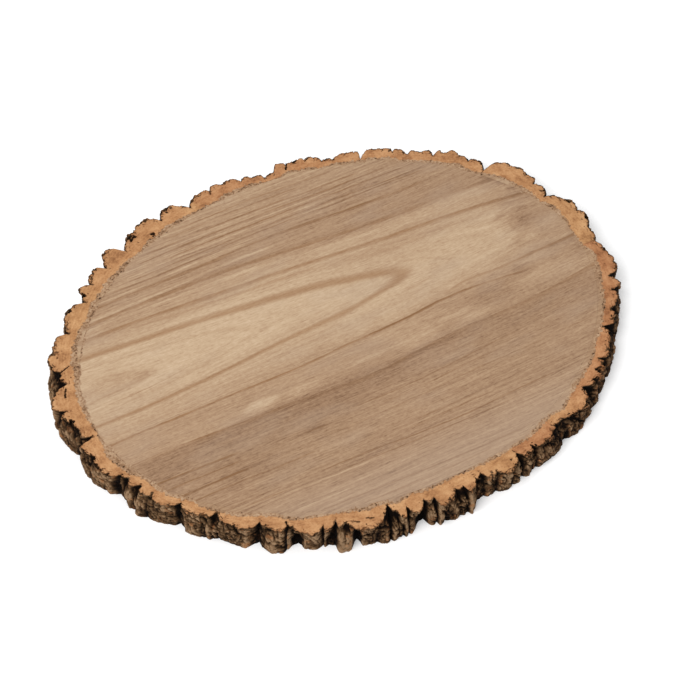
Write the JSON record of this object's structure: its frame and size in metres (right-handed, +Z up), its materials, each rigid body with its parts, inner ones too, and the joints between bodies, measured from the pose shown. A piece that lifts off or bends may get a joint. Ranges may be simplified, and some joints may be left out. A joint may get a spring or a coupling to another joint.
{
  "type": "bark-edged wood board",
  "caption": "Oval wood board with long grain and a rim of furrowed bark strips glued round it; it lies flat as a serving board, centrepiece base or place charger.",
  "frame": {"origin": "on the surface the board lies on, under the middle of its outline", "axes": "+X along the grain, the long way; +Y across it; +Z up"},
  "size_m": [0.4046, 0.3276, 0.02],
  "materials": {
    "wood_face": "bare, sanded and matt",
    "glue_seam": "rough glue and sawdust",
    "bark": "rough natural bark, orange-brown where it is cut and dark grey-brown outside"
  },
  "bodies": {
    "root": {"wood_board": "wood_face", "filler_seam": "glue_seam", "bark_strip_01": "bark", "bark_strip_02": "bark", "bark_strip_03": "bark", "bark_strip_04": "bark", "bark_strip_05": "bark", "bark_strip_06": "bark", "bark_strip_07": "bark", "bark_strip_08": "bark", "bark_strip_09": "bark", "bark_strip_10": "bark", "bark_strip_11": "bark", "bark_strip_12": "bark"}
  },
  "joints": []
}
